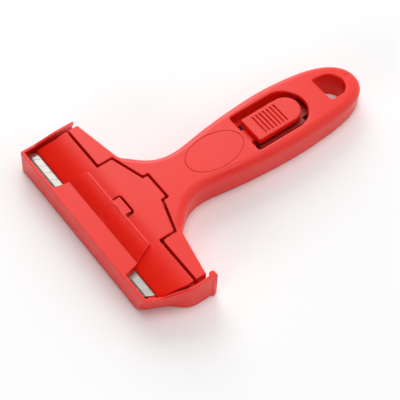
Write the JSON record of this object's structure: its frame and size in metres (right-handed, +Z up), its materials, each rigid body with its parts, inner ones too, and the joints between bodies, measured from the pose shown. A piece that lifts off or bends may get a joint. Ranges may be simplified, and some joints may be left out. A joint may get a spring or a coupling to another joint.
{
  "type": "hob scraper",
  "caption": "Wide hand scraper for glass hobs with a clamped strip blade, slide-off guard, sprung thumb slide, blade magazine and hanging hole.",
  "frame": {"origin": "on the flat underside of the head, midway across, below the rim behind the clamp plate", "axes": "+Y along the handle towards the hanging hole, +X across towards the blade's slanted rear corner, +Z up through the flat top"},
  "size_m": [0.1152, 0.1649, 0.0182],
  "materials": {
    "red_plastic": "satin moulded plastic",
    "dark_plastic": "matte moulded plastic",
    "blade_steel": "fine ground",
    "pin_steel": "bright",
    "screw_steel": "bright",
    "spring_steel": "bright"
  },
  "bodies": {
    "base": {"main_body": "red_plastic", "blade_clamp_plate": "red_plastic", "draw_bar_retainer": "dark_plastic", "scraper_blade": "blade_steel", "plate_pivot_pins": "pin_steel", "lid_hinge_pin": "pin_steel", "retainer_screws": "screw_steel", "latch_spring": "spring_steel", "spare_blade_1": "blade_steel", "spare_blade_2": "blade_steel", "spare_blade_3": "blade_steel", "spare_blade_4": "blade_steel", "spare_blade_5": "blade_steel"},
    "slide": {"thumb_slide": "red_plastic", "draw_bar": "red_plastic", "slide_screws": "screw_steel"},
    "guard": {"blade_guard": "red_plastic"},
    "lid": {"magazine_lid": "red_plastic"}
  },
  "joints": [
    {"name": "guard_slide", "type": "slide", "parent": "base", "child": "guard", "axis": [0, -1, 0], "range_m": [0, 0.035]},
    {"name": "latch_slide", "type": "slide", "parent": "base", "child": "slide", "axis": [0, 1, 0], "range_m": [0, 0.003], "stiffness_N_per_m": 400, "springref_m": -0.003, "deforming": ["latch_spring"]},
    {"name": "magazine_lid_hinge", "type": "hinge", "parent": "base", "child": "lid", "pos_m": [0, 0.11019, 0.0021], "axis": [1, 0, 0], "range_deg": [0, 100]}
  ]
}
